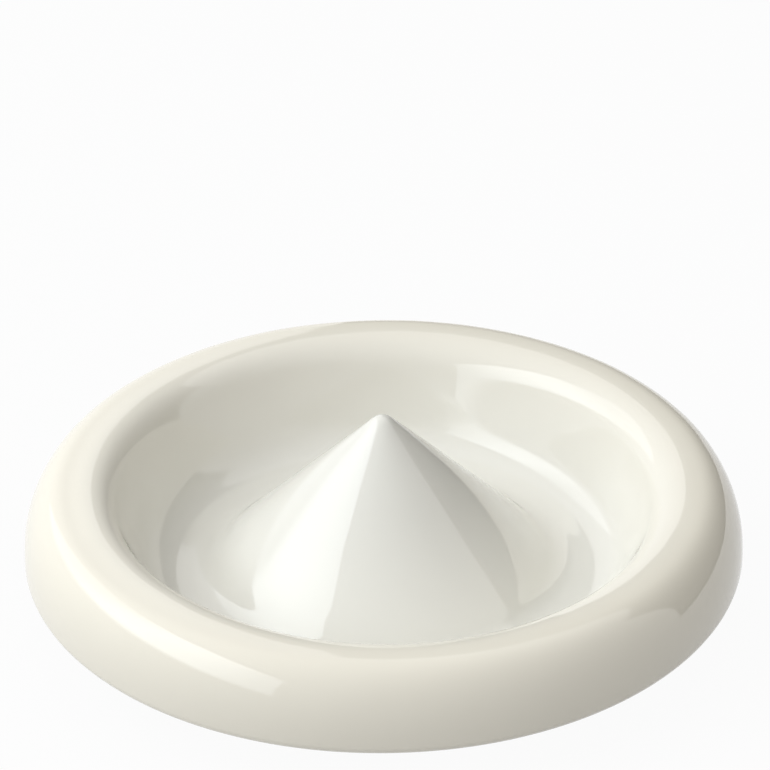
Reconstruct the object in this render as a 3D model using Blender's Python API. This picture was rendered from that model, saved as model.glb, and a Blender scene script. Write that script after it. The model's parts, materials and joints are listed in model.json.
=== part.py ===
"""Round soap dish in glazed ceramic, with a pointed cone in the middle of its basin.

Metres, +Z up. The origin is on the table, below the tip of the cone.
The casting is turned about Z. Its rim is hollow, its cone is hollow from below, and it stands on
silicone pads under a foot ring. Silicone plugs close the vent holes of the hollow rim.
"""
import math

import bmesh
import bpy

# Sizes of the whole dish
OVERALL_DIAMETER = 0.140
BASIN_DEPTH = 0.0195
TIP_ABOVE_CREST = 0.0141

# Rim: the crest is its highest circle
CREST_TO_OUTSIDE = 0.0085
CREST_TO_BASIN_WALL = 0.0154
CREST_ABOVE_WIDEST = 0.0137
RIM_CORNER_RADIUS = 0.0020

# Cone and basin floor
CONE_ANGLE = math.radians(46.3)
TIP_RADIUS = 0.0022
CONE_FOOT_RADIUS = 0.0145
WALL_FOOT_RADIUS = 0.0055
BASIN_FLAT = 0.0003

# Casting
WALL = 0.0045
HOLLOW_TIP_RADIUS = 0.0020
CAVITY_CORNER_RADIUS = 0.0014

# Foot ring
FOOT_WIDTH = 0.0095
FOOT_HEIGHT = 0.0015
FOOT_EDGE_RADIUS = 0.0006
FOOT_BLEND_RADIUS = 0.0045

# Silicone pads in shallow seats under the foot ring
PAD_COUNT = 4
PAD_FIRST_ANGLE = math.radians(45)
PAD_DIAMETER = 0.0064
PAD_STANDS_PROUD = 0.0008
PAD_SEAT_DEPTH = 0.0010
PAD_EDGE_RADIUS = 0.0004

# Silicone plugs in the vent holes of the rim
PLUG_COUNT = 2
PLUG_FIRST_ANGLE = math.radians(90)
VENT_DIAMETER = 0.0060
PLUG_HEAD_DIAMETER = 0.0092
PLUG_HEAD_HEIGHT = 0.0011
PLUG_EDGE_RADIUS = 0.0003
PLUG_BARB_DIAMETER = 0.0074
PLUG_BARB_HEIGHT = 0.0026
PLUG_NOSE_DIAMETER = 0.0036

# Clearance between pieces that seat on each other
CLEARANCE = 0.0003

# Facets round the dish and round its small pieces, and how far a facet may lie off its curve
DISH_FACETS = 56
SMALL_FACETS = 20
FACET_DEVIATION = 0.0001

# Points closer than this are one point, and an edge that turns by more than the angle is sharp
WELD_DISTANCE = 0.000001
SHARP_ANGLE = math.radians(35)

# Surfaces: colour and roughness
GLAZE_COLOUR = (0.80, 0.79, 0.72)
GLAZE_ROUGHNESS = 0.08
GLAZE_COAT = 1.0
PAD_COLOUR = (0.62, 0.62, 0.60)
PAD_ROUGHNESS = 0.55
PLUG_COLOUR = (0.72, 0.71, 0.68)
PLUG_ROUGHNESS = 0.60

# Directions from the centre of an arc in the outline, measured from outward towards up
OUTWARD = 0.0
UPWARD = math.pi / 2
INWARD = math.pi
DOWNWARD = -math.pi / 2

# Halvings of the interval in which the foot of the basin wall is searched
SEARCH_STEPS = 60

# Radii and levels that follow from the sizes
CREST_RADIUS = OVERALL_DIAMETER / 2 - CREST_TO_OUTSIDE
FOOT_LEVEL = PAD_STANDS_PROUD
RECESS_LEVEL = FOOT_LEVEL + FOOT_HEIGHT
FLOOR_LEVEL = RECESS_LEVEL + WALL
CREST_LEVEL = FLOOR_LEVEL + BASIN_DEPTH
TIP_LEVEL = CREST_LEVEL + TIP_ABOVE_CREST
WIDEST_LEVEL = CREST_LEVEL - CREST_ABOVE_WIDEST
UNDERSIDE_LEVEL = WIDEST_LEVEL - RIM_CORNER_RADIUS
CAVITY_FLOOR_LEVEL = UNDERSIDE_LEVEL + WALL


def arc(centre, radius, start, end):
    """Points (radius, height) along a circular arc."""
    return oval_arc(centre, radius, radius, start, end)


def oval_arc(centre, across, up, start, end):
    """Points (radius, height) along an arc of an upright ellipse, as few as the deviation allows."""
    widest_step = 2 * math.acos(1 - FACET_DEVIATION / max(across, up))
    steps = max(2, math.ceil(abs(end - start) / widest_step))
    points = []
    for step in range(steps + 1):
        angle = start + (end - start) * step / steps
        points.append((centre[0] + across * math.cos(angle), centre[1] + up * math.sin(angle)))
    return points


def wall_radius(level):
    """Radius of the basin wall at a level, on its ellipse from the floor to the crest."""
    share = (level - FLOOR_LEVEL) / BASIN_DEPTH
    return CREST_RADIUS - CREST_TO_BASIN_WALL * math.sqrt(1 - share * share)


def outside_radius(level):
    """Radius of the rim's outside at a level between its widest circle and its crest."""
    share = (level - WIDEST_LEVEL) / CREST_ABOVE_WIDEST
    return CREST_RADIUS + CREST_TO_OUTSIDE * math.sqrt(1 - share * share)


def wall_fillet():
    """Centre of the fillet at the foot of the basin wall, and where on the wall's ellipse it ends."""
    low = 0.0
    high = math.pi / 2
    for _ in range(SEARCH_STEPS):
        middle = (low + high) / 2
        across = CREST_TO_BASIN_WALL * math.sin(middle)
        up = BASIN_DEPTH * math.cos(middle)
        rise = BASIN_DEPTH * math.sin(middle) + WALL_FOOT_RADIUS * across / math.hypot(across, up)
        if rise < WALL_FOOT_RADIUS:
            low = middle
        else:
            high = middle
    foot = wall_radius(FLOOR_LEVEL + BASIN_DEPTH * math.sin(middle))
    inward = WALL_FOOT_RADIUS * up / math.hypot(across, up)
    return (foot - inward, FLOOR_LEVEL + WALL_FOOT_RADIUS), middle


def cone_foot():
    """Centre and radius of the fillet between the cone's flank and the basin floor."""
    slope = math.tan(CONE_ANGLE)
    side = TIP_RADIUS * math.sin(CONE_ANGLE)
    top = TIP_LEVEL - TIP_RADIUS * (1 - math.cos(CONE_ANGLE))
    flank_meets_floor = side + (top - FLOOR_LEVEL) / slope
    room = wall_fillet()[0][0] - BASIN_FLAT - flank_meets_floor
    radius = min(CONE_FOOT_RADIUS, room / math.tan(CONE_ANGLE / 2))
    return (flank_meets_floor + radius * math.tan(CONE_ANGLE / 2), FLOOR_LEVEL + radius), radius


def upper_outline():
    """Glazed face from the tip of the cone over the basin and the rim to the widest circle."""
    foot_centre, foot_radius = cone_foot()
    wall_centre, wall_angle = wall_fillet()
    wall_end = wall_radius(FLOOR_LEVEL + BASIN_DEPTH * math.sin(wall_angle))
    wall_end_rise = BASIN_DEPTH * math.sin(wall_angle) - WALL_FOOT_RADIUS
    fillet_end = math.atan2(wall_end_rise, wall_end - wall_centre[0])
    outline = arc((0, TIP_LEVEL - TIP_RADIUS), TIP_RADIUS, UPWARD, UPWARD - CONE_ANGLE)
    outline += arc(foot_centre, foot_radius, DOWNWARD - CONE_ANGLE, DOWNWARD)
    outline += arc(wall_centre, WALL_FOOT_RADIUS, DOWNWARD, fillet_end)
    outline += oval_arc((CREST_RADIUS, FLOOR_LEVEL), CREST_TO_BASIN_WALL, BASIN_DEPTH,
                        INWARD - wall_angle, UPWARD)[1:]
    outline += oval_arc((CREST_RADIUS, WIDEST_LEVEL), CREST_TO_OUTSIDE, CREST_ABOVE_WIDEST,
                        UPWARD, OUTWARD)[1:]
    return outline


def lower_outline():
    """Underside from the rim's rounded corner over the foot ring to the top of the cone's hollow."""
    foot_centre, foot_radius = cone_foot()
    inside = foot_centre[0]
    outside = inside + FOOT_WIDTH
    edge = FOOT_EDGE_RADIUS
    blend = FOOT_BLEND_RADIUS
    corner = (OVERALL_DIAMETER / 2 - RIM_CORNER_RADIUS, WIDEST_LEVEL)
    outline = arc(corner, RIM_CORNER_RADIUS, OUTWARD, DOWNWARD)[1:]
    outline += arc((outside + blend, UNDERSIDE_LEVEL - blend), blend, UPWARD, INWARD)
    outline += arc((outside - edge, FOOT_LEVEL + edge), edge, OUTWARD, DOWNWARD)
    outline += arc((inside + edge, FOOT_LEVEL + edge), edge, DOWNWARD, -INWARD)
    outline += arc(foot_centre, foot_radius + WALL, DOWNWARD, DOWNWARD - CONE_ANGLE)
    drop = WALL / math.cos(CONE_ANGLE) + TIP_RADIUS - TIP_RADIUS / math.cos(CONE_ANGLE)
    apex = TIP_LEVEL - drop - HOLLOW_TIP_RADIUS * (1 / math.cos(CONE_ANGLE) - 1)
    outline += arc((0, apex - HOLLOW_TIP_RADIUS), HOLLOW_TIP_RADIUS, UPWARD - CONE_ANGLE, UPWARD)
    return outline


def cavity_sides():
    """Inner and outer radius of the rim's hollow at its floor, one wall away from both faces."""
    return wall_radius(CAVITY_FLOOR_LEVEL) + WALL, outside_radius(CAVITY_FLOOR_LEVEL) - WALL


def cavity_outline():
    """Closed outline of the hollow inside the rim."""
    inner, outer = cavity_sides()
    corner = CAVITY_CORNER_RADIUS
    base = CAVITY_FLOOR_LEVEL + corner
    height = CREST_LEVEL - WALL - base
    outline = oval_arc((CREST_RADIUS, base), CREST_RADIUS - inner, height, INWARD, UPWARD)
    outline += oval_arc((CREST_RADIUS, base), outer - CREST_RADIUS, height, UPWARD, OUTWARD)[1:]
    outline += arc((outer - corner, base), corner, OUTWARD, DOWNWARD)[1:]
    outline += arc((inner + corner, base), corner, DOWNWARD, -INWARD)[:-1]
    return outline


def pad_outline():
    """Pad from the middle of its top to the middle of its flat underside."""
    radius = PAD_DIAMETER / 2
    edge = PAD_EDGE_RADIUS
    top = FOOT_LEVEL + PAD_SEAT_DEPTH - CLEARANCE
    return [(0, top), (radius, top)] + arc((radius - edge, edge), edge, OUTWARD, DOWNWARD) + [(0, 0)]


def plug_outline():
    """Plug from the tip of its nose down over barb and stem to the middle of its head."""
    stem = VENT_DIAMETER / 2 - CLEARANCE
    head = PLUG_HEAD_DIAMETER / 2
    head_top = UNDERSIDE_LEVEL + PLUG_HEAD_HEIGHT
    barb_base = CAVITY_FLOOR_LEVEL + CLEARANCE
    nose = barb_base + PLUG_BARB_HEIGHT
    edge = PLUG_EDGE_RADIUS
    outline = [
        (0, nose),
        (PLUG_NOSE_DIAMETER / 2, nose),
        (PLUG_BARB_DIAMETER / 2, barb_base + CLEARANCE),
        (PLUG_BARB_DIAMETER / 2, barb_base),
        (stem, barb_base),
        (stem, head_top),
        (head, head_top),
    ]
    outline += arc((head - edge, UNDERSIDE_LEVEL + edge), edge, OUTWARD, DOWNWARD)
    return outline + [(0, UNDERSIDE_LEVEL)]


def turned(name, outline, facets, closed=False, places=((0, 0),)):
    """Object turned from an outline of (radius, height) points about an upright axis at each place."""
    mesh = bpy.data.meshes.new(name)
    shape = bmesh.new()
    for x, y in places:
        line = [shape.verts.new((x + radius, y, height)) for radius, height in outline]
        pairs = list(zip(line, line[1:]))
        if closed:
            pairs.append((line[-1], line[0]))
        edges = [shape.edges.new(pair) for pair in pairs]
        bmesh.ops.spin(shape, geom=line + edges, cent=(x, y, 0), axis=(0, 0, 1), angle=math.tau,
                       steps=facets, use_merge=True)
    bmesh.ops.remove_doubles(shape, verts=shape.verts, dist=WELD_DISTANCE)
    bmesh.ops.recalc_face_normals(shape, faces=shape.faces)
    shape.to_mesh(mesh)
    shape.free()
    mesh.shade_smooth()
    mesh.set_sharp_from_angle(angle=SHARP_ANGLE)
    piece = bpy.data.objects.new(name, mesh)
    bpy.context.collection.objects.link(piece)
    return piece


def cut(piece, cutter):
    """Take the cutter's shape out of a piece, and keep the cutter as a hidden wire."""
    cutter.hide_render = True
    cutter.display_type = 'WIRE'
    difference = piece.modifiers.new(cutter.name, 'BOOLEAN')
    difference.operation = 'DIFFERENCE'
    difference.solver = 'EXACT'
    difference.object = cutter


def material(name, colour, roughness, coat=0.0):
    """Plain surface with one colour."""
    surface = bpy.data.materials.new(name)
    surface.use_nodes = True
    shader = surface.node_tree.nodes['Principled BSDF']
    shader.inputs['Base Color'].default_value = (*colour, 1)
    shader.inputs['Roughness'].default_value = roughness
    shader.inputs['Metallic'].default_value = 0.0
    shader.inputs['Coat Weight'].default_value = coat
    surface.diffuse_color = (*colour, 1)
    return surface


def spots(count, radius, first):
    """Places evenly round a circle, the first one at an angle from +X."""
    places = []
    for index in range(count):
        angle = first + math.tau * index / count
        places.append((radius * math.cos(angle), radius * math.sin(angle)))
    return places


def pad_spots():
    """Pads stand in the middle of the foot ring's width."""
    return spots(PAD_COUNT, cone_foot()[0][0] + FOOT_WIDTH / 2, PAD_FIRST_ANGLE)


def plug_spots():
    """Vent holes open into the middle of the rim's cavity."""
    return spots(PLUG_COUNT, sum(cavity_sides()) / 2, PLUG_FIRST_ANGLE)


def vent_cutter_outline():
    """Vent hole through the rim's underside, with the shallow seat of the plug's head below it."""
    hole = VENT_DIAMETER / 2
    seat = PLUG_HEAD_DIAMETER / 2 + CLEARANCE
    top = CAVITY_FLOOR_LEVEL + CAVITY_CORNER_RADIUS
    step = UNDERSIDE_LEVEL + PLUG_HEAD_HEIGHT + CLEARANCE
    bottom = UNDERSIDE_LEVEL - WALL
    return [(0, top), (hole, top), (hole, step), (seat, step), (seat, bottom), (0, bottom)]


def pad_cutter_outline():
    """Shallow round seat of a pad in the foot ring."""
    radius = PAD_DIAMETER / 2 + CLEARANCE
    top = FOOT_LEVEL + PAD_SEAT_DEPTH
    return [(0, top), (radius, top), (radius, -FOOT_LEVEL), (0, -FOOT_LEVEL)]


def make_dish_body():
    """Glazed casting with its hollow rim, vent holes and pad seats."""
    body = turned('dish_body', upper_outline() + lower_outline(), DISH_FACETS)
    body.data.materials.append(material('ivory_glaze', GLAZE_COLOUR, GLAZE_ROUGHNESS, GLAZE_COAT))
    cut(body, turned('rim_cavity', cavity_outline(), DISH_FACETS, closed=True))
    cut(body, turned('vent_holes', vent_cutter_outline(), SMALL_FACETS, places=plug_spots()))
    cut(body, turned('pad_seats', pad_cutter_outline(), SMALL_FACETS, places=pad_spots()))
    return body


def make_copies(base_name, outline, places, surface):
    """Equal small pieces, one object for each place."""
    pieces = []
    for index, spot in enumerate(places, 1):
        piece = turned(f'{base_name}_{index}', outline, SMALL_FACETS)
        piece.data.materials.append(surface)
        piece.location = (spot[0], spot[1], 0)
        pieces.append(piece)
    return pieces


for old in list(bpy.data.objects):
    bpy.data.objects.remove(old)

frame = bpy.data.objects.new('soap_dish', None)
bpy.context.collection.objects.link(frame)

dish_body = make_dish_body()
pads = make_copies('pad', pad_outline(), pad_spots(), material('clear_silicone', PAD_COLOUR, PAD_ROUGHNESS))
plugs = make_copies('vent_plug', plug_outline(), plug_spots(),
                    material('white_silicone', PLUG_COLOUR, PLUG_ROUGHNESS))
for part in [dish_body] + pads + plugs:
    part.parent = frame
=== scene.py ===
import json
import math

import bpy
import numpy as np
from mathutils import Matrix, Vector, noise


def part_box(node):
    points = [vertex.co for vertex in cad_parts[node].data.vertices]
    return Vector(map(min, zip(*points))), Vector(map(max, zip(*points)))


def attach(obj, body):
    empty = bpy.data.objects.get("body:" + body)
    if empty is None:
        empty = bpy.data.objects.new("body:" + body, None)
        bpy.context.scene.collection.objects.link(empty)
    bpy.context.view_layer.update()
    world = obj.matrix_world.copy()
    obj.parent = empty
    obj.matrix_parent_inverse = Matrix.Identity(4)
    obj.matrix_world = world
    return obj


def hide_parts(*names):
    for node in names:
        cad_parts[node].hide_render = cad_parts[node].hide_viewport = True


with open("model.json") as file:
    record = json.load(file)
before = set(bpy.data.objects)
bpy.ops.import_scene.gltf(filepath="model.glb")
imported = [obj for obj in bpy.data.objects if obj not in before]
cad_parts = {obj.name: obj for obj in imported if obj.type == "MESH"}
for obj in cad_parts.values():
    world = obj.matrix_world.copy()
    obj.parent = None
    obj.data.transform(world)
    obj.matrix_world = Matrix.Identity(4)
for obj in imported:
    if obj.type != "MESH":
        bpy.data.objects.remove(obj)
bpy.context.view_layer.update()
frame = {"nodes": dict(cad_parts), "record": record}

bl_info = {
    "name": "Soap Dish",
    "version": (1, 0, 0),
    "blender": (4, 5, 0),
    "location": "View3D > Sidebar > Soap Dish",
    "description": "Glazed soap dish with a central cone, its silicone pads and vent plugs",
    "category": "Add Mesh",
}

BODY_LOW, BODY_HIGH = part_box("dish_body")
PAD_LOW, PAD_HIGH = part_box("pad_1")
PLUG_LOW, PLUG_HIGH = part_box("vent_plug_1")
PAD_NODES = sorted(name for name in frame["nodes"] if name.startswith("pad_"))
PLUG_NODES = sorted(name for name in frame["nodes"] if name.startswith("vent_plug_"))
SLOT_COLOURS = {entry["slot"]: tuple(entry["base_color"]) for entry in frame["record"]["materials"]}

# Fineness of the turned outlines: lengths in metres, a reach in softnesses, and steps in an arc
OUTLINE_SPACING = 0.0001
OUTLINE_TOLERANCE = 0.000002
OUTLINE_MOST_SKIPPED = 15
SOFTNESS_REACH = 4.0
FINE_STEPS = 120
EDGE_STEPS = 8
SHARP_ANGLE = math.radians(35.0)

# Barb of a plug: turns in degrees at which its rounded nose and its rounded foot end
BARB_NOSE_END = 40.0
BARB_FOOT_END = -60.0

# The glaze's finer waves against its main ones
FINE_WAVE_SHARE = 0.35
FINE_WAVE_PITCH = 2.3

# Mottle of each surface: share by which its colour drifts, scale of the drift, scale of the grain
GLAZE_MOTTLE = (0.03, 45.0, 900.0)
CLAY_MOTTLE = (0.20, 300.0, 2500.0)
SILICONE_MOTTLE = (0.06, 700.0, 5000.0)
DRIFT_DETAIL = 2.0
GRAIN_DETAIL = 3.0
MIDDLE_GREY = 0.5

# Bump of each surface: its height in metres and its strength
CLAY_BUMP = (0.0002, 0.6)
SILICONE_BUMP = (0.00005, 0.5)

# Refraction, and how far light spreads in the silicone
GLAZE_IOR = 1.6
SILICONE_IOR = 1.41
SILICONE_SPREAD = 0.002

# The glaze's colour changes from the basin's painted shade to the rim's painted light, and is
# wholly the rim's from this far inside the rim's widest part. The glaze ends a little over the foot
# ring's lower face, on a line that wanders.
PAINTED_LIGHT_INSET = 0.006
GLAZE_LINE_HEIGHT = 0.00050
GLAZE_LINE_WIDTH = 0.00012
GLAZE_LINE_WANDER = 0.0006
GLAZE_LINE_SCALE = 160.0

# Stretches over which the softbox dims, as shares of its length or of its height
FRONT_FADE = (0.55, 1.0)
REAR_FADE = (0.50, 0.18)
LOWER_FADE = (0.20, 0.07)

# The table lies a hair under the pads' faces, and its white is mixed with its lit grey
TABLE_SIDE = 8.0
TABLE_DROP = 0.00005
TABLE_WHITE_SHARE = 0.95
TABLE_GREY = (0.55, 0.55, 0.55, 1.0)
TABLE_ROUGHNESS = 0.9
BOARD_BLACK = (0.02, 0.02, 0.02, 1.0)
WHITE = (1.0, 1.0, 1.0, 1.0)

# Photograph: the square picture's side, and the pixel on which the middle of the dish falls.
# Camera: the sensor's width in millimetres, and its reach in metres.
PICTURE_SIDE = 770
DISH_PIXEL = (382.15, 538.2)
SENSOR_WIDTH = 36.0
CLIP_NEAR = 0.01
CLIP_FAR = 100.0


def length(name, default, description):
    """Length that a user can change."""
    return bpy.props.FloatProperty(
        name=name, description=description, default=default, unit="LENGTH")


def angle(name, degrees, description):
    """Angle that a user can change."""
    return bpy.props.FloatProperty(
        name=name, description=description, default=math.radians(degrees), unit="ROTATION")


def factor(name, default, description):
    """Share between 0 and 1 that a user can change."""
    return bpy.props.FloatProperty(
        name=name, description=description, default=default, min=0.0, max=1.0, subtype="FACTOR")


def colour(name, default, description):
    """Colour that a user can change."""
    return bpy.props.FloatVectorProperty(
        name=name, description=description, default=default, size=3, min=0.0, max=1.0,
        subtype="COLOR")


class DishShape(bpy.types.PropertyGroup):
    """Sizes of the glazed body."""

    diameter: length("Diameter", BODY_HIGH[0] - BODY_LOW[0], "Across the widest part of the rim")
    basin_depth: length("Basin Depth", 0.0195, "From the rim's crest down to the basin floor")
    tip_above_crest: length(
        "Cone Above Rim", 0.0142, "Height of the cone's tip over the rim's crest")
    crest_to_outside: length(
        "Crest To Outside", 0.0085, "Level distance from the crest to the widest part")
    crest_above_widest: length(
        "Crest Above Widest", 0.0137, "Height of the crest over the widest part")
    crest_flat: length("Crest Flat", 0.0018, "Level width of the crest inside its highest line")
    roll_width: length(
        "Inner Roll Width", 0.0083, "Level half axis of the oval that rolls the rim inwards")
    roll_height: length(
        "Inner Roll Height", 0.0068, "Upright half axis of the oval that rolls the rim inwards")
    wall_slope: angle("Wall Slope", 66.0, "Steepness of the basin wall")
    wall_foot_radius: length(
        "Wall Foot Radius", 0.0070, "Fillet between the basin wall and its floor")
    cone_slope: angle("Cone Slope", 45.5, "Steepness of the cone's side")
    tip_radius: length("Tip Radius", 0.0028, "Rounding of the cone's tip")
    cone_foot_radius: length(
        "Cone Foot Radius", 0.0072, "Sweep between the cone's side and the basin floor, at most")
    body_wall: length("Wall Thickness", 0.0045, "Thickness of the clay")
    rim_corner_radius: length("Rim Corner Radius", 0.0020, "Rounding of the rim's lower edge")
    cavity_corner_radius: length(
        "Cavity Corner Radius", 0.0014, "Rounding at the foot of the rim's hollow")
    foot_width: length("Foot Ring Width", 0.0095, "Width of the foot ring")
    foot_height: length(
        "Foot Ring Height", 0.0015, "Height of the foot ring under the hollow of the cone")
    foot_edge_radius: length(
        "Foot Edge Radius", 0.0006, "Rounding of the foot ring's lower edges")
    foot_blend_radius: length(
        "Foot Blend Radius", 0.0045, "Fillet between the foot ring and the underside")
    softness: length(
        "Glaze Softness", 0.0008, "Length over which the glaze evens out a change of curve")
    wave_height: length("Glaze Wave Height", 0.00006, "Height of the low waves in the glaze")
    wave_length: length("Glaze Wave Length", 0.015, "Distance between the low waves in the glaze")
    warp: factor("Kiln Warp", 0.035, "Rise of the rim's inner edge towards the left, per length")
    warp_turn: length(
        "Kiln Warp Turn", 0.010, "Width of the stretch near the middle in which the rise begins")
    segments: bpy.props.IntProperty(
        name="Segments", description="Steps around the body", default=288, min=24)


class DishFittings(bpy.types.PropertyGroup):
    """Sizes of the silicone pads and vent plugs."""

    pad_diameter: length("Pad Diameter", PAD_HIGH[0] - PAD_LOW[0], "Across a pad")
    pad_seat_depth: length("Pad Seat Depth", 0.0010, "Depth of a pad's seat in the foot ring")
    pad_edge_radius: length("Pad Edge Radius", 0.0004, "Rounding of a pad's lower edge")
    vent_diameter: length("Vent Diameter", 0.0060, "Across a vent hole")
    head_diameter: length("Plug Head Diameter", PLUG_HIGH[0] - PLUG_LOW[0], "Across a plug's head")
    head_height: length("Plug Head Height", 0.0011, "Thickness of a plug's head")
    head_edge_radius: length("Plug Edge Radius", 0.0003, "Rounding of a plug's head")
    barb_diameter: length("Plug Barb Diameter", 0.0074, "Across the barb behind a vent hole")
    barb_height: length("Plug Barb Height", 0.0026, "Height of the barb up to its blunt nose")
    nose_diameter: length("Plug Nose Diameter", 0.0036, "Across the blunt nose")
    clearance: length("Clearance", 0.0003, "Gap between pieces that seat on each other")
    segments: bpy.props.IntProperty(
        name="Segments", description="Steps around a pad or plug", default=64, min=12)


class DishFinish(bpy.types.PropertyGroup):
    """Colours and gloss."""

    # Painted shade: the basin gets the same glaze, darker where less light reaches.
    basin_glaze_painted_shade: colour(
        "Glaze In Basin", (0.78, 0.765, 0.70), "Off-white of the glaze where it pools")
    # Painted light: the rim gets the same glaze, lighter and warmer where more light falls.
    rim_glaze_painted_light: colour(
        "Glaze On Rim", (0.805, 0.76, 0.65), "Ivory of the glaze where it runs thin")
    bare_clay: colour("Bare Clay", (0.74, 0.70, 0.62), "Unglazed clay of the foot ring")
    pad: colour("Pads", SLOT_COLOURS["clear_silicone"], "Milky clear silicone of the pads")
    plug: colour("Plugs", SLOT_COLOURS["white_silicone"], "White silicone of the vent plugs")
    glaze_roughness: factor("Glaze Roughness", 0.04, "Roughness of the glaze")
    clay_roughness: factor("Clay Roughness", 0.85, "Roughness of the bare clay")
    pad_roughness: factor("Pad Roughness", 0.45, "Roughness of the pads")
    plug_roughness: factor("Plug Roughness", 0.60, "Roughness of the vent plugs")
    pad_clearness: factor("Pad Clearness", 0.35, "How freely light spreads in the pads")
    plug_clearness: factor("Plug Clearness", 0.10, "How freely light spreads in the plugs")


class DishStudio(bpy.types.PropertyGroup):
    """Camera and lights."""

    camera_distance: length("Camera Distance", 0.738, "From the camera to the middle of the dish")
    camera_elevation: angle("Camera Elevation", 32.6, "Height of the camera as an angle")
    camera_roll: angle("Camera Roll", -0.516, "Turn of the camera about its own view")
    focal_pixels: bpy.props.FloatProperty(
        name="Focal Length", description="Focal length in pixels of the square picture",
        default=3775.2)
    key_distance: length(
        "Softbox Distance", 0.60, "From the dish to the large softbox on the left")
    key_length: length("Softbox Length", 1.70, "Length of the softbox")
    key_height: length("Softbox Height", 0.72, "Height of the softbox")
    key_forward: length(
        "Softbox Forward", 0.08, "How far the middle of the softbox stands towards the camera")
    key_level: length(
        "Softbox Level", 0.54, "Height of the middle of the softbox over the table")
    key_colour: colour(
        "Softbox Colour", (0.88, 0.94, 1.0), "Slightly cool white of the softbox")
    key_radiance: bpy.props.FloatProperty(
        name="Softbox Radiance", description="Brightness of the softbox where it is brightest",
        default=2.85)
    key_front: factor(
        "Softbox Front End", 0.50, "Brightness of the softbox's front end against its middle")
    key_rear: factor(
        "Softbox Rear End", 0.35, "Brightness of the softbox's rear end against its middle")
    room_light: bpy.props.FloatProperty(
        name="Room Light", description="Brightness of the pale room before any lean",
        default=0.40)
    room_lean: bpy.props.FloatVectorProperty(
        name="Room Lean",
        description="How much brighter the room is to the right, behind the dish and overhead",
        default=(-0.15, 0.28, 0.70), size=3, subtype="XYZ")
    flag_distance: length(
        "Flag Distance", 0.70, "From the dish to the dark board behind it on the right")
    flag_width: length("Flag Width", 1.30, "Width of the dark board")
    flag_height: length("Flag Height", 0.90, "Height of the dark board")
    flag_bearing: angle(
        "Flag Bearing", 139.0, "Direction of the dark board, counted from the camera's side")


def arc(centre, across, up, start, end, steps):
    """Points of an upright oval arc from start to end degrees, counted from outward towards up."""
    points = []
    for step in range(steps + 1):
        turn = math.radians(start + (end - start) * step / steps)
        points.append((centre[0] + across * math.cos(turn), centre[1] + up * math.sin(turn)))
    return points


def evened(points, softness):
    """The line through points, evenly spaced, with each change of curve spread over softness."""
    line = np.array(points)
    along = np.r_[0.0, np.cumsum(np.linalg.norm(np.diff(line, axis=0), axis=1))]
    places = np.linspace(0.0, along[-1], int(along[-1] / OUTLINE_SPACING) + 1)
    even = np.c_[np.interp(places, along, line[:, 0]), np.interp(places, along, line[:, 1])]
    reach = int(SOFTNESS_REACH * softness / OUTLINE_SPACING)
    offsets = np.arange(-reach, reach + 1) * OUTLINE_SPACING / softness
    weights = np.exp(-0.5 * offsets ** 2)
    weights /= weights.sum()
    # the line is mirrored at the axis and carried on through its outer end
    before = even[1:reach + 1][::-1] * (-1.0, 1.0)
    after = 2.0 * even[-1] - even[-reach - 1:-1][::-1]
    longer = np.r_[before, even, after]
    smooth = np.c_[np.convolve(longer[:, 0], weights, "valid"),
                   np.convolve(longer[:, 1], weights, "valid")]
    smooth[0, 0] = 0.0
    return smooth


def thinned(line):
    """Points of line without those between which it runs straight."""
    kept = [0]
    while kept[-1] < len(line) - 1:
        start = kept[-1]
        end = start + 2
        while end < len(line) and end - start < OUTLINE_MOST_SKIPPED:
            run = line[end] - line[start]
            between = line[start + 1:end] - line[start]
            off = np.abs(between[:, 0] * run[1] - between[:, 1] * run[0]) / np.hypot(*run)
            if off.max() > OUTLINE_TOLERANCE:
                break
            end += 1
        kept.append(end - 1)
    return [tuple(line[index].tolist()) for index in kept]


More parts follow.
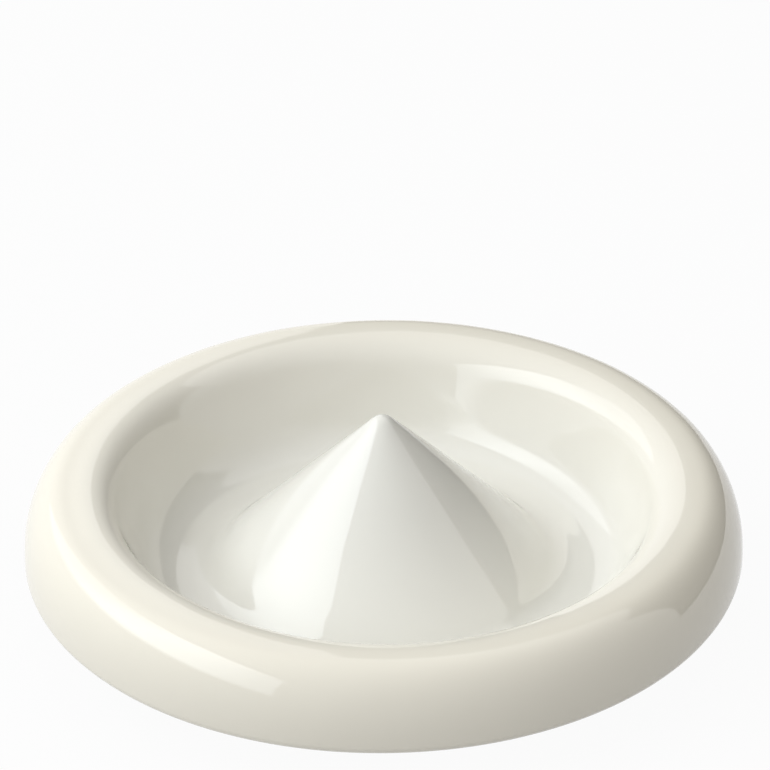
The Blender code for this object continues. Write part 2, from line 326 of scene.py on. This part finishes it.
class Levels:
    """Heights and radii that follow from the body's sizes."""

    def __init__(self, shape):
        self.shape = shape
        self.outer = shape.diameter / 2.0
        self.crest_radius = self.outer - shape.crest_to_outside
        self.foot = BODY_LOW[2]
        self.recess = self.foot + shape.foot_height
        self.floor = self.recess + shape.body_wall
        self.crest = self.floor + shape.basin_depth
        self.tip = self.crest + shape.tip_above_crest
        self.widest = self.crest - shape.crest_above_widest
        self.underside = self.widest - shape.rim_corner_radius
        self.cavity_floor = self.underside + shape.body_wall
        self.set_wall()
        self.set_cone_foot()
        # the pads sit in the middle of the foot ring
        self.foot_inside = math.hypot(*middle_of(PAD_NODES[0])) - shape.foot_width / 2.0
        self.foot_outside = self.foot_inside + shape.foot_width

    def set_wall(self):
        """Where the inner roll ends, as steep as the wall, and where the wall's fillet ends."""
        shape = self.shape
        slope = math.tan(shape.wall_slope)
        self.roll_turn = math.atan(slope * shape.roll_width / shape.roll_height)
        self.roll_x = (self.crest_radius - shape.crest_flat
                       - shape.roll_width * math.sin(self.roll_turn))
        self.roll_z = self.crest - shape.roll_height * (1.0 - math.cos(self.roll_turn))
        fillet = shape.wall_foot_radius
        fillet_top = self.floor + fillet * (1.0 - math.cos(shape.wall_slope))
        self.wall_foot_x = self.wall_radius(fillet_top) - fillet * math.sin(shape.wall_slope)

    def wall_radius(self, level):
        """Radius of the straight stretch of the basin wall at a level."""
        return self.roll_x - (self.roll_z - level) / math.tan(self.shape.wall_slope)

    def outside_radius(self, level):
        """Radius of the rim's outside at a level between its widest part and its crest."""
        share = (level - self.widest) / self.shape.crest_above_widest
        return self.crest_radius + self.shape.crest_to_outside * math.sqrt(1.0 - share * share)

    def set_cone_foot(self):
        """The cone's side runs straight from its tip to the sweep that meets the floor."""
        shape = self.shape
        side = shape.tip_radius * math.sin(shape.cone_slope)
        top = self.tip - shape.tip_radius * (1.0 - math.cos(shape.cone_slope))
        meets = side + (top - self.floor) / math.tan(shape.cone_slope)
        spread = math.tan(shape.cone_slope / 2.0)
        self.sweep = min(shape.cone_foot_radius, (self.wall_foot_x - meets) / spread)
        self.sweep_x = meets + self.sweep * spread


def upper_outline(shape, levels):
    """From the cone's tip over the basin and the rim to the rim's widest part."""
    cone = math.degrees(shape.cone_slope)
    tip = arc((0.0, levels.tip - shape.tip_radius), shape.tip_radius, shape.tip_radius,
              90.0, 90.0 - cone, FINE_STEPS)
    sweep = arc((levels.sweep_x, levels.floor + levels.sweep), levels.sweep, levels.sweep,
                -90.0 - cone, -90.0, FINE_STEPS)
    fillet = arc((levels.wall_foot_x, levels.floor + shape.wall_foot_radius),
                 shape.wall_foot_radius, shape.wall_foot_radius,
                 -90.0, math.degrees(shape.wall_slope) - 90.0, FINE_STEPS)
    roll = arc((levels.crest_radius - shape.crest_flat, levels.crest - shape.roll_height),
               shape.roll_width, shape.roll_height,
               90.0 + math.degrees(levels.roll_turn), 90.0, FINE_STEPS)
    outside = arc((levels.crest_radius, levels.widest), shape.crest_to_outside,
                  shape.crest_above_widest, 90.0, 0.0, FINE_STEPS)
    return thinned(evened(tip + sweep + fillet[1:] + roll + outside, shape.softness))


def lower_outline(shape, levels):
    """From the rim's lower edge over the underside and the foot ring to the hollow of the cone."""
    corner = shape.rim_corner_radius
    blend = shape.foot_blend_radius
    edge = shape.foot_edge_radius
    cone = math.degrees(shape.cone_slope)
    # this radius leaves the clay one wall thick under the cone's side
    hollow = (levels.sweep + shape.body_wall
              + (levels.foot_inside - levels.sweep_x) / math.tan(shape.cone_slope / 2.0))
    line = arc((levels.outer - corner, levels.widest), corner, corner,
               0.0, -90.0, 2 * EDGE_STEPS)[1:]
    line += arc((levels.foot_outside + blend, levels.underside - blend), blend, blend,
                90.0, 180.0, 2 * EDGE_STEPS)
    line += arc((levels.foot_outside - edge, levels.foot + edge), edge, edge,
                0.0, -90.0, EDGE_STEPS)
    line += arc((levels.foot_inside + edge, levels.foot + edge), edge, edge,
                -90.0, -180.0, EDGE_STEPS)
    line += arc((levels.foot_inside, levels.recess + hollow), hollow, hollow,
                -90.0, -90.0 - cone, 4 * EDGE_STEPS)
    # the hollow's top is as round as the cone's tip
    side = math.cos(shape.cone_slope)
    apex = levels.tip - shape.body_wall / side - shape.tip_radius * (2.0 - 1.0 / side) / 2.0
    line += arc((0.0, apex - shape.tip_radius), shape.tip_radius, shape.tip_radius,
                90.0 - cone, 90.0, EDGE_STEPS)
    line[-1] = (0.0, line[-1][1])
    return line


def cavity_outline(shape, levels):
    """Closed outline of the hollow inside the rim, one wall away from both faces."""
    inner = levels.wall_radius(levels.cavity_floor) + shape.body_wall
    outer = levels.outside_radius(levels.cavity_floor) - shape.body_wall
    corner = shape.cavity_corner_radius
    base = levels.cavity_floor + corner
    height = levels.crest - shape.body_wall - base
    middle = (inner + outer) / 2.0
    line = arc((middle, base), (outer - inner) / 2.0, height, 180.0, 0.0, 6 * EDGE_STEPS)
    line += arc((outer - corner, base), corner, corner, 0.0, -90.0, EDGE_STEPS)[1:]
    line += arc((inner + corner, base), corner, corner, -90.0, -180.0, EDGE_STEPS)[:-1]
    return line


def turned_mesh(name, outline, segments, centres=((0.0, 0.0),)):
    """Mesh made by turning outline about an upright axis at each centre.

    An outline that starts and ends on the axis closes there, and any other is a closed ring."""
    vertices = []
    faces = []
    poles = outline[0][0] == 0.0
    ring_line = outline[1:-1] if poles else outline
    rings = len(ring_line)
    for centre_x, centre_y in centres:
        base = len(vertices)
        for radius, height in ring_line:
            for step in range(segments):
                turn = 2.0 * math.pi * step / segments
                vertices.append((centre_x + radius * math.cos(turn),
                                 centre_y + radius * math.sin(turn), height))
        for ring in range(rings - 1 if poles else rings):
            here = base + ring * segments
            below = base + (ring + 1) % rings * segments
            for step in range(segments):
                after = (step + 1) % segments
                faces.append((here + step, below + step, below + after, here + after))
        if poles:
            first = len(vertices)
            vertices += [(centre_x, centre_y, outline[0][1]), (centre_x, centre_y, outline[-1][1])]
            lowest = base + (rings - 1) * segments
            for step in range(segments):
                after = (step + 1) % segments
                faces.append((first, base + step, base + after))
                faces.append((lowest + step, first + 1, lowest + after))
    mesh = bpy.data.meshes.new(name)
    mesh.from_pydata(vertices, [], faces)
    mesh.shade_smooth()
    return mesh


def place(name, mesh):
    """Object for a mesh that is already where it belongs."""
    piece = bpy.data.objects.new(name, mesh)
    bpy.context.collection.objects.link(piece)
    return piece


def vectors_of(items, name):
    """Array with one row for each vertex or normal."""
    values = np.empty(len(items) * 3)
    items.foreach_get(name, values)
    return values.reshape(-1, 3)


def faded(values, start, end):
    """1 up to start, 0 from end on, and a smooth change between them."""
    share = np.clip((values - start) / (end - start), 0.0, 1.0)
    return 1.0 - share * share * (3.0 - 2.0 * share)


def warp(mesh, shape, levels, upper):
    """Lifts the rim's inner edge a little on the left, as the kiln warps clay.

    The first vertices of the mesh, upper in number, make its upper face."""
    points = vectors_of(mesh.vertices, "co")
    across = points[:upper, 0]
    radius = np.hypot(across, points[:upper, 1])
    turn = shape.warp_turn
    lift = shape.warp * (np.sqrt(across ** 2 + turn ** 2) - across - turn) / 2.0
    edge = (faded(radius, levels.roll_x, levels.crest_radius)
            - faded(radius, levels.wall_foot_x, levels.roll_x))
    points[:upper, 2] += lift * edge
    mesh.vertices.foreach_set("co", points.ravel())
    mesh.update()


def make_waves(mesh, shape, levels):
    """Low waves of the glaze, pressed in from the true surface, none below the rim's lower edge."""
    points = vectors_of(mesh.vertices, "co")
    normals = vectors_of(mesh.vertex_normals, "vector")
    depth = np.zeros(len(points))
    for index, point in enumerate(points):
        if point[2] <= levels.underside:
            continue
        at = Vector(point) / shape.wave_length
        wave = noise.noise(at) + FINE_WAVE_SHARE * noise.noise(at * FINE_WAVE_PITCH)
        fade = min(1.0, (point[2] - levels.underside) / shape.rim_corner_radius)
        depth[index] = shape.wave_height * fade * (1.0 + wave)
    points -= normals * depth[:, None]
    mesh.vertices.foreach_set("co", points.ravel())
    mesh.update()


def carve(piece, cutters):
    """Takes the cutters out of the piece for good."""
    for cutter in cutters:
        difference = piece.modifiers.new(cutter.name, "BOOLEAN")
        difference.operation = "DIFFERENCE"
        difference.solver = "EXACT"
        difference.object = cutter
    graph = bpy.context.evaluated_depsgraph_get()
    carved = bpy.data.meshes.new_from_object(piece.evaluated_get(graph), depsgraph=graph)
    piece.modifiers.clear()
    plain = piece.data
    piece.data = carved
    bpy.data.meshes.remove(plain)
    for cutter in cutters:
        bpy.data.meshes.remove(cutter.data)
    carved.shade_smooth()
    carved.set_sharp_from_angle(angle=SHARP_ANGLE)


def middle_of(node):
    """Upright axis of a CAD node."""
    low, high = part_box(node)
    return (low[0] + high[0]) / 2.0, (low[1] + high[1]) / 2.0


def pad_seat_outline(fittings, levels):
    """Cutter for a pad's seat in the foot ring."""
    radius = fittings.pad_diameter / 2.0 + fittings.clearance
    top = levels.foot + fittings.pad_seat_depth
    return [(0.0, top), (radius, top), (radius, -levels.foot), (0.0, -levels.foot)]


def vent_outline(fittings, shape, levels):
    """Cutter for a vent hole and the shallow seat of its plug's head."""
    hole = fittings.vent_diameter / 2.0
    seat = fittings.head_diameter / 2.0 + fittings.clearance
    top = levels.cavity_floor + shape.cavity_corner_radius
    step = levels.underside + fittings.head_height + fittings.clearance
    bottom = levels.underside - shape.body_wall
    return [(0.0, top), (hole, top), (hole, step), (seat, step), (seat, bottom), (0.0, bottom)]


def pad_outline(fittings, levels):
    """Pad from the middle of its top to the middle of its flat underside."""
    radius = fittings.pad_diameter / 2.0
    edge = fittings.pad_edge_radius
    top = levels.foot + fittings.pad_seat_depth - fittings.clearance
    line = [(0.0, top)] + arc((radius - edge / 2.0, top - edge / 2.0), edge / 2.0, edge / 2.0,
                              90.0, 0.0, EDGE_STEPS)
    line += arc((radius - edge, edge), edge, edge, 0.0, -90.0, EDGE_STEPS)
    return line + [(0.0, 0.0)]


def plug_outline(fittings, levels):
    """Plug from the top of its nose down over barb and stem to the middle of its head."""
    stem = fittings.vent_diameter / 2.0 - fittings.clearance
    head = fittings.head_diameter / 2.0
    edge = fittings.head_edge_radius
    head_top = levels.underside + fittings.head_height
    barb_base = levels.cavity_floor + fittings.clearance
    nose = barb_base + fittings.barb_height
    line = [(0.0, nose)] + arc((fittings.nose_diameter / 2.0 - edge, nose - edge), edge, edge,
                               90.0, BARB_NOSE_END, EDGE_STEPS)
    line += arc((fittings.barb_diameter / 2.0 - edge / 2.0, barb_base + edge),
                edge / 2.0, edge / 2.0, BARB_NOSE_END, BARB_FOOT_END, EDGE_STEPS)
    line += [(stem, barb_base), (stem, head_top)]
    line += arc((head - edge, head_top - edge), edge, edge, 90.0, 0.0, EDGE_STEPS)
    line += arc((head - edge, levels.underside + edge), edge, edge, 0.0, -90.0, EDGE_STEPS)
    return line + [(0.0, levels.underside)]


def node_group(name, inputs, outputs):
    """Empty shader node group with named sockets, and its two end nodes."""
    group = bpy.data.node_groups.new(name, "ShaderNodeTree")
    for label, kind, default in inputs:
        socket = group.interface.new_socket(label, in_out="INPUT", socket_type=kind)
        socket.default_value = default
    for label, kind in outputs:
        group.interface.new_socket(label, in_out="OUTPUT", socket_type=kind)
    return group, group.nodes.new("NodeGroupInput"), group.nodes.new("NodeGroupOutput")


def mottle_group():
    """Slow drift of a surface's colour, and a fine height for bumps, both in real sizes."""
    group, given, result = node_group(
        "mottle",
        [("Colour", "NodeSocketColor", (1.0, 1.0, 1.0, 1.0)), ("Drift", "NodeSocketFloat", 0.02),
         ("Drift Scale", "NodeSocketFloat", 40.0), ("Grain Scale", "NodeSocketFloat", 400.0)],
        [("Colour", "NodeSocketColor"), ("Height", "NodeSocketFloat")])
    nodes, links = group.nodes, group.links
    where = nodes.new("ShaderNodeTexCoord")
    drift = nodes.new("ShaderNodeTexNoise")
    drift.inputs["Detail"].default_value = DRIFT_DETAIL
    grain = nodes.new("ShaderNodeTexNoise")
    grain.inputs["Detail"].default_value = GRAIN_DETAIL
    centred = nodes.new("ShaderNodeMath")
    centred.operation = "SUBTRACT"
    centred.inputs[1].default_value = MIDDLE_GREY
    level = nodes.new("ShaderNodeMath")
    level.operation = "MULTIPLY_ADD"
    level.inputs[2].default_value = 1.0
    shade = nodes.new("ShaderNodeVectorMath")
    shade.operation = "SCALE"
    links.new(where.outputs["Object"], drift.inputs["Vector"])
    links.new(where.outputs["Object"], grain.inputs["Vector"])
    links.new(given.outputs["Drift Scale"], drift.inputs["Scale"])
    links.new(given.outputs["Grain Scale"], grain.inputs["Scale"])
    links.new(drift.outputs["Fac"], centred.inputs[0])
    links.new(centred.outputs[0], level.inputs[0])
    links.new(given.outputs["Drift"], level.inputs[1])
    links.new(given.outputs["Colour"], shade.inputs[0])
    links.new(level.outputs[0], shade.inputs["Scale"])
    links.new(shade.outputs["Vector"], result.inputs["Colour"])
    links.new(grain.outputs["Fac"], result.inputs["Height"])
    return group


def new_material(name):
    """Material with a Principled BSDF, and its nodes and links."""
    material = bpy.data.materials.new(name)
    material.use_nodes = True
    return material, material.node_tree.nodes, material.node_tree.links


def add_mottle(nodes, group, tint, drift, drift_scale, grain_scale):
    """Places the mottle group with its own values."""
    node = nodes.new("ShaderNodeGroup")
    node.node_tree = group
    node.inputs["Colour"].default_value = (*tint, 1.0)
    node.inputs["Drift"].default_value = drift
    node.inputs["Drift Scale"].default_value = drift_scale
    node.inputs["Grain Scale"].default_value = grain_scale
    return node


def add_bump(nodes, links, height, shader, distance, strength):
    """Bump from a height socket into the shader's normal."""
    bump = nodes.new("ShaderNodeBump")
    bump.inputs["Distance"].default_value = distance
    bump.inputs["Strength"].default_value = strength
    links.new(height, bump.inputs["Height"])
    links.new(bump.outputs["Normal"], shader.inputs["Normal"])


def glaze_material(finish, levels, mottle):
    """Glossy glaze with painted shade in the basin and painted light on the rim, and bare clay
    under the foot ring.
    """
    material, nodes, links = new_material("ivory_glaze")
    shader = nodes["Principled BSDF"]
    shader.inputs["IOR"].default_value = GLAZE_IOR
    glaze = add_mottle(nodes, mottle, finish.rim_glaze_painted_light, *GLAZE_MOTTLE)
    clay = add_mottle(nodes, mottle, finish.bare_clay, *CLAY_MOTTLE)
    where = nodes.new("ShaderNodeTexCoord")
    split = nodes.new("ShaderNodeSeparateXYZ")
    level = nodes.new("ShaderNodeVectorMath")
    level.operation = "MULTIPLY"
    level.inputs[1].default_value = (1.0, 1.0, 0.0)
    radius = nodes.new("ShaderNodeVectorMath")
    radius.operation = "LENGTH"
    # By radius, the colour goes from painted shade in the basin to painted light on the rim.
    painted_light_share = nodes.new("ShaderNodeMapRange")
    painted_light_share.interpolation_type = "SMOOTHSTEP"
    painted_light_share.inputs["From Min"].default_value = levels.wall_foot_x
    painted_light_share.inputs["From Max"].default_value = levels.outer - PAINTED_LIGHT_INSET
    shade_to_light_mix = nodes.new("ShaderNodeMix")
    shade_to_light_mix.data_type = "RGBA"
    shade_to_light_mix.inputs["A"].default_value = (*finish.basin_glaze_painted_shade, 1.0)
    shade_to_light_mix.inputs["B"].default_value = (*finish.rim_glaze_painted_light, 1.0)
    links.new(where.outputs["Object"], level.inputs[0])
    links.new(level.outputs["Vector"], radius.inputs[0])
    links.new(radius.outputs["Value"], painted_light_share.inputs["Value"])
    links.new(painted_light_share.outputs["Result"], shade_to_light_mix.inputs["Factor"])
    links.new(shade_to_light_mix.outputs["Result"], glaze.inputs["Colour"])
    wander = nodes.new("ShaderNodeTexNoise")
    wander.inputs["Scale"].default_value = GLAZE_LINE_SCALE
    line = nodes.new("ShaderNodeMath")
    line.operation = "MULTIPLY_ADD"
    line.inputs[1].default_value = GLAZE_LINE_WANDER
    glazed = nodes.new("ShaderNodeMapRange")
    glaze_line = levels.foot + GLAZE_LINE_HEIGHT
    glazed.inputs["From Min"].default_value = glaze_line
    glazed.inputs["From Max"].default_value = glaze_line + GLAZE_LINE_WIDTH
    cover = nodes.new("ShaderNodeMix")
    cover.data_type = "RGBA"
    gloss = nodes.new("ShaderNodeMapRange")
    gloss.inputs["To Min"].default_value = finish.clay_roughness
    gloss.inputs["To Max"].default_value = finish.glaze_roughness
    grain = nodes.new("ShaderNodeMix")
    links.new(where.outputs["Object"], split.inputs[0])
    links.new(where.outputs["Object"], wander.inputs["Vector"])
    links.new(wander.outputs["Fac"], line.inputs[0])
    links.new(split.outputs["Z"], line.inputs[2])
    links.new(line.outputs[0], glazed.inputs["Value"])
    links.new(glazed.outputs["Result"], cover.inputs["Factor"])
    links.new(clay.outputs["Colour"], cover.inputs["A"])
    links.new(glaze.outputs["Colour"], cover.inputs["B"])
    links.new(glazed.outputs["Result"], gloss.inputs["Value"])
    links.new(glazed.outputs["Result"], grain.inputs["Factor"])
    links.new(clay.outputs["Height"], grain.inputs["A"])
    grain.inputs["B"].default_value = MIDDLE_GREY
    links.new(cover.outputs["Result"], shader.inputs["Base Color"])
    links.new(gloss.outputs["Result"], shader.inputs["Roughness"])
    add_bump(nodes, links, grain.outputs["Result"], shader, *CLAY_BUMP)
    return material


def silicone_material(name, tint, roughness, mottle, clearness):
    """Soft silicone with a fine moulded grain, more or less clear."""
    material, nodes, links = new_material(name)
    shader = nodes["Principled BSDF"]
    surface = add_mottle(nodes, mottle, tint, *SILICONE_MOTTLE)
    links.new(surface.outputs["Colour"], shader.inputs["Base Color"])
    shader.inputs["Roughness"].default_value = roughness
    shader.inputs["IOR"].default_value = SILICONE_IOR
    shader.inputs["Subsurface Weight"].default_value = clearness
    shader.inputs["Subsurface Scale"].default_value = SILICONE_SPREAD
    add_bump(nodes, links, surface.outputs["Height"], shader, *SILICONE_BUMP)
    return material


def dress(piece, material, node):
    """Gives a new piece its material and sets it in the place of its CAD node."""
    piece.data.materials.append(material)
    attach(piece, "root")
    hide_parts(node)


class SOAPDISH_OT_turn_body(bpy.types.Operator):
    """Turns the glazed body with its cone, basin, hollow rim and foot ring"""

    bl_idname = "soapdish.turn_body"
    bl_label = "Turn Glazed Body"

    def execute(self, context):
        shape = context.scene.dish_shape
        fittings = context.scene.dish_fittings
        levels = Levels(shape)
        upper = upper_outline(shape, levels)
        mesh = turned_mesh("glazed_body", upper + lower_outline(shape, levels), shape.segments)
        warp(mesh, shape, levels, (len(upper) - 1) * shape.segments)
        make_waves(mesh, shape, levels)
        body = place("glazed_body", mesh)
        pads = [middle_of(node) for node in PAD_NODES]
        vents = [middle_of(node) for node in PLUG_NODES]
        cutters = (
            ("rim_cavity", cavity_outline(shape, levels), shape.segments),
            ("vents", vent_outline(fittings, shape, levels), fittings.segments, vents),
            ("pad_seats", pad_seat_outline(fittings, levels), fittings.segments, pads),
        )
        carve(body, [place(cutter[0], turned_mesh(*cutter)) for cutter in cutters])
        finish = context.scene.dish_finish
        dress(body, glaze_material(finish, levels, mottle_group()), "dish_body")
        return {"FINISHED"}


class SOAPDISH_OT_mould_pads(bpy.types.Operator):
    """Moulds the silicone pads and sets them in the foot ring"""

    bl_idname = "soapdish.mould_pads"
    bl_label = "Mould Pads"

    def execute(self, context):
        fittings = context.scene.dish_fittings
        finish = context.scene.dish_finish
        outline = pad_outline(fittings, Levels(context.scene.dish_shape))
        material = silicone_material("clear_silicone", finish.pad, finish.pad_roughness,
                                     bpy.data.node_groups["mottle"], finish.pad_clearness)
        for node in PAD_NODES:
            mesh = turned_mesh("fine_" + node, outline, fittings.segments, [middle_of(node)])
            mesh.set_sharp_from_angle(angle=SHARP_ANGLE)
            dress(place("fine_" + node, mesh), material, node)
        return {"FINISHED"}


class SOAPDISH_OT_mould_plugs(bpy.types.Operator):
    """Moulds the silicone plugs and sets them in the vent holes of the rim"""

    bl_idname = "soapdish.mould_plugs"
    bl_label = "Mould Vent Plugs"

    def execute(self, context):
        fittings = context.scene.dish_fittings
        finish = context.scene.dish_finish
        outline = plug_outline(fittings, Levels(context.scene.dish_shape))
        material = silicone_material("white_silicone", finish.plug, finish.plug_roughness,
                                     bpy.data.node_groups["mottle"], finish.plug_clearness)
        for node in PLUG_NODES:
            mesh = turned_mesh("fine_" + node, outline, fittings.segments, [middle_of(node)])
            mesh.set_sharp_from_angle(angle=SHARP_ANGLE)
            dress(place("fine_" + node, mesh), material, node)
        return {"FINISHED"}


def seen_white(nodes, links):
    """Socket that is 1 for rays of the camera, mirrored rays and clear ones, and 0 for others."""
    path = nodes.new("ShaderNodeLightPath")
    total = path.outputs["Is Camera Ray"]
    for name in ("Is Glossy Ray", "Is Transmission Ray"):
        largest = nodes.new("ShaderNodeMath")
        largest.operation = "MAXIMUM"
        links.new(total, largest.inputs[0])
        links.new(path.outputs[name], largest.inputs[1])
        total = largest.outputs[0]
    return total


def table_material():
    """White table top that keeps the shadow of the dish."""
    material, nodes, links = new_material("white_table")
    shader = nodes["Principled BSDF"]
    shader.inputs["Base Color"].default_value = TABLE_GREY
    shader.inputs["Roughness"].default_value = TABLE_ROUGHNESS
    glow = nodes.new("ShaderNodeEmission")
    glow.inputs["Strength"].default_value = 1.0
    share = nodes.new("ShaderNodeMath")
    share.operation = "MULTIPLY"
    share.inputs[1].default_value = TABLE_WHITE_SHARE
    mix = nodes.new("ShaderNodeMixShader")
    links.new(seen_white(nodes, links), share.inputs[0])
    links.new(share.outputs[0], mix.inputs["Fac"])
    links.new(shader.outputs[0], mix.inputs[1])
    links.new(glow.outputs[0], mix.inputs[2])
    links.new(mix.outputs[0], nodes["Material Output"].inputs["Surface"])
    return material


def board_material():
    """Matt black of the dark board."""
    material, nodes, _ = new_material("black_board")
    shader = nodes["Principled BSDF"]
    shader.inputs["Base Color"].default_value = BOARD_BLACK
    shader.inputs["Roughness"].default_value = 1.0
    return material


def set_camera(studio, levels):
    """Camera at the photograph's angle, turned to bring the middle of the dish to its pixel."""
    data = bpy.data.cameras.new("camera")
    data.sensor_width = SENSOR_WIDTH
    data.lens = studio.focal_pixels * SENSOR_WIDTH / PICTURE_SIDE
    data.clip_start = CLIP_NEAR
    data.clip_end = CLIP_FAR
    camera = place("camera", data)
    side = Vector((1.0, 0.0, 0.0))
    back = Vector((0.0, -math.cos(studio.camera_elevation), math.sin(studio.camera_elevation)))
    facing = Matrix((side, back.cross(side), back)).transposed()
    middle = PICTURE_SIDE / 2.0
    yaw = Matrix.Rotation(math.atan((DISH_PIXEL[0] - middle) / studio.focal_pixels), 3, "Y")
    pitch = Matrix.Rotation(math.atan((DISH_PIXEL[1] - middle) / studio.focal_pixels), 3, "X")
    roll = Matrix.Rotation(studio.camera_roll, 3, "Z")
    spot = Matrix.Translation(Vector((0.0, 0.0, levels.widest)) + back * studio.camera_distance)
    camera.matrix_world = spot @ (facing @ pitch @ yaw @ roll).to_4x4()
    bpy.context.scene.camera = camera


def set_softbox(studio):
    """Large upright softbox on the left, which dims towards both ends and at its foot."""
    data = bpy.data.lights.new("left_softbox", "AREA")
    data.shape = "RECTANGLE"
    data.size = studio.key_length
    data.size_y = studio.key_height
    data.energy = math.pi * studio.key_length * studio.key_height * studio.key_radiance
    data.color = studio.key_colour
    data.use_nodes = True
    nodes = data.node_tree.nodes
    links = data.node_tree.links
    where = nodes.new("ShaderNodeNewGeometry")
    split = nodes.new("ShaderNodeSeparateXYZ")
    links.new(where.outputs["Parametric"], split.inputs[0])
    glow = nodes["Emission"].inputs["Strength"]
    for axis, (start, end), level in (("X", FRONT_FADE, studio.key_front),
                                      ("X", REAR_FADE, studio.key_rear), ("Y", LOWER_FADE, 0.0)):
        fade = nodes.new("ShaderNodeMapRange")
        fade.interpolation_type = "SMOOTHSTEP"
        fade.inputs["From Min"].default_value = start
        fade.inputs["From Max"].default_value = end
        fade.inputs["To Min"].default_value = 1.0
        fade.inputs["To Max"].default_value = level
        product = nodes.new("ShaderNodeMath")
        product.operation = "MULTIPLY"
        product.inputs[1].default_value = 1.0
        links.new(split.outputs[axis], fade.inputs["Value"])
        links.new(fade.outputs["Result"], product.inputs[0])
        links.new(product.outputs[0], glow)
        glow = product.inputs[1]
    lamp = place("left_softbox", data)
    lamp.location = (-studio.key_distance, -studio.key_forward, studio.key_level)
    lamp.rotation_euler = Vector((1.0, 0.0, 0.0)).to_track_quat("-Z", "Y").to_euler()


def set_room(studio):
    """Pale room, brightest overhead and behind the dish, and white where it is seen or mirrored."""
    world = bpy.data.worlds.new("pale_room")
    bpy.context.scene.world = world
    world.use_nodes = True
    nodes = world.node_tree.nodes
    links = world.node_tree.links
    where = nodes.new("ShaderNodeTexCoord")
    lean = nodes.new("ShaderNodeVectorMath")
    lean.operation = "DOT_PRODUCT"
    lean.inputs[1].default_value = studio.room_lean
    room = nodes.new("ShaderNodeMath")
    room.operation = "ADD"
    room.inputs[1].default_value = studio.room_light
    least = nodes.new("ShaderNodeMath")
    least.operation = "MAXIMUM"
    least.inputs[1].default_value = 0.0
    level = nodes.new("ShaderNodeMix")
    level.data_type = "FLOAT"
    level.inputs["B"].default_value = 1.0
    links.new(where.outputs["Generated"], lean.inputs[0])
    links.new(lean.outputs["Value"], room.inputs[0])
    links.new(room.outputs[0], least.inputs[0])
    links.new(least.outputs[0], level.inputs["A"])
    links.new(seen_white(nodes, links), level.inputs["Factor"])
    links.new(level.outputs["Result"], nodes["Background"].inputs["Strength"])
    nodes["Background"].inputs["Color"].default_value = WHITE


def set_board(studio):
    """Dark board behind the dish on the right, which only lights and mirrored rays meet."""
    bpy.ops.mesh.primitive_plane_add(size=1.0)
    board = bpy.context.object
    board.name = "dark_board"
    board.scale = (studio.flag_width, studio.flag_height, 1.0)
    bearing = studio.flag_bearing
    board.location = (studio.flag_distance * math.sin(bearing),
                      -studio.flag_distance * math.cos(bearing), studio.flag_height / 2.0)
    board.rotation_euler = (math.pi / 2.0, 0.0, bearing)
    board.visible_camera = False
    board.data.materials.append(board_material())


class SOAPDISH_OT_set_stage(bpy.types.Operator):
    """Sets the table, the camera and the lights"""

    bl_idname = "soapdish.set_stage"
    bl_label = "Set Stage"

    def execute(self, context):
        studio = context.scene.dish_studio
        bpy.ops.mesh.primitive_plane_add(size=TABLE_SIDE)
        table = context.object
        table.name = "table"
        table.location.z = -TABLE_DROP
        table.data.materials.append(table_material())
        set_camera(studio, Levels(context.scene.dish_shape))
        set_softbox(studio)
        set_room(studio)
        set_board(studio)
        context.scene.view_settings.view_transform = "Standard"
        return {"FINISHED"}


class SOAPDISH_PT_sidebar(bpy.types.Panel):
    """Sizes, colours and steps of the soap dish"""

    bl_label = "Soap Dish"
    bl_idname = "SOAPDISH_PT_sidebar"
    bl_space_type = "VIEW_3D"
    bl_region_type = "UI"
    bl_category = "Soap Dish"

    def draw(self, context):
        scene = context.scene
        for group in (scene.dish_shape, scene.dish_fittings, scene.dish_finish, scene.dish_studio):
            for name in group.__annotations__:
                self.layout.prop(group, name)
        for operator in OPERATORS:
            self.layout.operator(operator.bl_idname)


OPERATORS = (SOAPDISH_OT_turn_body, SOAPDISH_OT_mould_pads, SOAPDISH_OT_mould_plugs,
             SOAPDISH_OT_set_stage)
GROUPS = {"dish_shape": DishShape, "dish_fittings": DishFittings, "dish_finish": DishFinish,
          "dish_studio": DishStudio}


def register():
    """Registers the classes and gives each scene its groups of settings."""
    for entry in (*GROUPS.values(), *OPERATORS, SOAPDISH_PT_sidebar):
        bpy.utils.register_class(entry)
    for name, group in GROUPS.items():
        setattr(bpy.types.Scene, name, bpy.props.PointerProperty(type=group))


def unregister():
    """Takes back what register did."""
    for name in GROUPS:
        delattr(bpy.types.Scene, name)
    for entry in reversed((*GROUPS.values(), *OPERATORS, SOAPDISH_PT_sidebar)):
        bpy.utils.unregister_class(entry)


def main():
    """Builds the dish and its stage."""
    register()
    bpy.ops.soapdish.turn_body()
    bpy.ops.soapdish.mould_pads()
    bpy.ops.soapdish.mould_plugs()
    bpy.ops.soapdish.set_stage()


if __name__ == "__main__":
    main()
